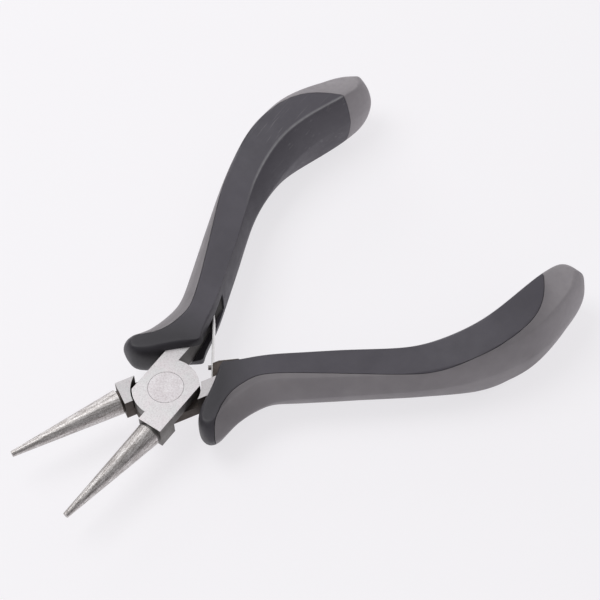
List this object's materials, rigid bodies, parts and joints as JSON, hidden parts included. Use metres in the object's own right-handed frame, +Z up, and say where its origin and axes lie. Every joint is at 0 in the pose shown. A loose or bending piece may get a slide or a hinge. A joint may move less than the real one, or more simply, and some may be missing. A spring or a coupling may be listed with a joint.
{
  "type": "round nose pliers",
  "caption": "Small jewellery pliers with two tapered round jaws, a flush riveted lap joint, a leaf return spring and two-colour contoured grips.",
  "frame": {"origin": "middle of the pliers' outer box, on the plane they lie on", "axes": "+X along the bisector of the handles, towards their ends; +Y to the side of half A's handle; +Z up, along the pivot"},
  "size_m": [0.12, 0.0876, 0.0173],
  "materials": {
    "forged_steel": "satin ground faces, turned jaws",
    "rivet_steel": "ground flush with the joint",
    "spring_steel": "bright spring strip",
    "grip_dark": "matt moulded elastomer",
    "grip_grey": "matt moulded elastomer"
  },
  "bodies": {
    "handle_b": {"half_b": "forged_steel", "pivot_rivet": "rivet_steel", "spring_rivet": "spring_steel", "grip_core_b": "grip_dark", "grip_pad_b": "grip_grey"},
    "handle_a": {"half_a": "forged_steel", "grip_core_a": "grip_dark", "grip_pad_a": "grip_grey"},
    "spring": {"leaf_spring": "spring_steel"}
  },
  "joints": [
    {"name": "handle_pivot", "type": "hinge", "parent": "handle_b", "child": "handle_a", "pos_m": [-0.02572, 0, 0.00863], "axis": [0, 0, 1], "range_deg": [-29.4, 8], "stiffness_Nm_per_rad": 0.15},
    {"name": "spring_flex", "type": "hinge", "parent": "handle_b", "child": "spring", "pos_m": [-0.01432, -0.00155, 0.00863], "axis": [0, 0, 1], "range_deg": [-54.5, 15], "deforming": ["leaf_spring"]}
  ],
  "couplings": [
    {"joint": "spring_flex", "follows": "handle_pivot", "ratio": 1.85}
  ]
}
